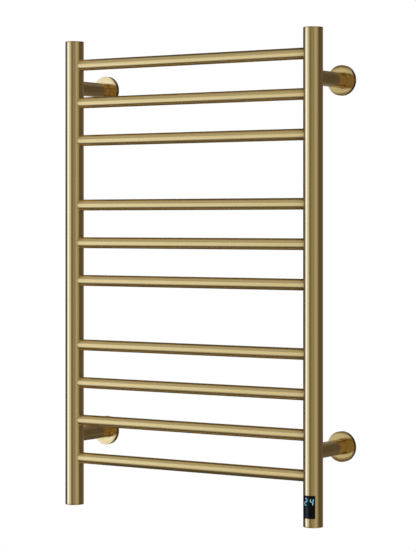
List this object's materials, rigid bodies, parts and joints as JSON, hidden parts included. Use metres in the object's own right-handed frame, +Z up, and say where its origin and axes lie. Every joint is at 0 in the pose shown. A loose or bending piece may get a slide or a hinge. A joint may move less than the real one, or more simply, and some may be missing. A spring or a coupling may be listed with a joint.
{
  "type": "towel warmer rack",
  "caption": "Wall-hung electric towel warmer: round brass uprights joined by rungs in groups, tubular wall standoffs with sliding round covers, and a flush touch display.",
  "frame": {"origin": "centre of the wall fixing pattern, on the wall plane", "axes": "+Z up along the uprights; +Y into the wall, so the rack stands out along -Y; +X to the right as seen from the room"},
  "size_m": [0.528, 0.113, 0.8],
  "materials": {
    "brushed_brass": "satin, brushed along each tube",
    "polished_brass": "polished turned face",
    "zinc_steel": "zinc plated",
    "dark_steel": "black oxide",
    "lens_black": "high gloss tinted acrylic",
    "digit_light": "lit light guide",
    "black_rubber": "matt",
    "silicone_cable": "matt silicone",
    "circuit_board": "solder mask",
    "black_plastic": "moulded",
    "pale_plastic": "moulded",
    "relay_blue": "moulded",
    "lead_blue": "wire insulation"
  },
  "bodies": {
    "rack": {"left_upright": "brushed_brass", "right_upright": "brushed_brass", "left_top_cap": "brushed_brass", "left_bottom_cap": "brushed_brass", "right_top_cap": "brushed_brass", "right_bottom_cap": "brushed_brass", "rung_01": "brushed_brass", "rung_02": "brushed_brass", "rung_03": "brushed_brass", "rung_04": "brushed_brass", "rung_05": "brushed_brass", "rung_06": "brushed_brass", "rung_07": "brushed_brass", "rung_08": "brushed_brass", "rung_09": "brushed_brass", "rung_10": "brushed_brass", "upper_left_standoff": "brushed_brass", "upper_left_wall_plate": "zinc_steel", "upper_right_standoff": "brushed_brass", "upper_right_wall_plate": "zinc_steel", "lower_left_standoff": "brushed_brass", "lower_left_wall_plate": "zinc_steel", "lower_right_standoff": "brushed_brass", "lower_right_wall_plate": "zinc_steel", "cap_screw": "dark_steel", "grub_screws": "dark_steel", "cable_grommet": "black_rubber", "display_lens": "lens_black", "digit_windows": "digit_light", "display_gasket": "black_rubber", "digit_module": "black_plastic", "touch_spring": "zinc_steel", "control_board": "circuit_board", "power_relay": "relay_blue", "board_capacitor": "black_plastic", "mains_connector": "pale_plastic", "heater_connector": "pale_plastic", "control_carrier": "black_plastic", "heating_cable": "silicone_cable", "thermal_fuse": "pale_plastic", "temperature_sensor": "zinc_steel", "terminal_block": "pale_plastic", "terminal_screws": "zinc_steel", "inner_harness": "lead_blue", "earth_stud": "zinc_steel", "earth_nut": "zinc_steel", "earth_tag": "zinc_steel"},
    "upper_left_cover": {"upper_left_rosette": "polished_brass", "upper_left_ring": "black_rubber"},
    "upper_right_cover": {"upper_right_rosette": "polished_brass", "upper_right_ring": "black_rubber"},
    "lower_left_cover": {"lower_left_rosette": "polished_brass", "lower_left_ring": "black_rubber"},
    "lower_right_cover": {"lower_right_rosette": "polished_brass", "lower_right_ring": "black_rubber"}
  },
  "joints": [
    {"name": "upper_left_cover_slide", "type": "slide", "parent": "rack", "child": "upper_left_cover", "axis": [0, -1, 0], "range_m": [0, 0.072]},
    {"name": "upper_right_cover_slide", "type": "slide", "parent": "rack", "child": "upper_right_cover", "axis": [0, -1, 0], "range_m": [0, 0.072]},
    {"name": "lower_left_cover_slide", "type": "slide", "parent": "rack", "child": "lower_left_cover", "axis": [0, -1, 0], "range_m": [0, 0.072]},
    {"name": "lower_right_cover_slide", "type": "slide", "parent": "rack", "child": "lower_right_cover", "axis": [0, -1, 0], "range_m": [0, 0.072]}
  ]
}
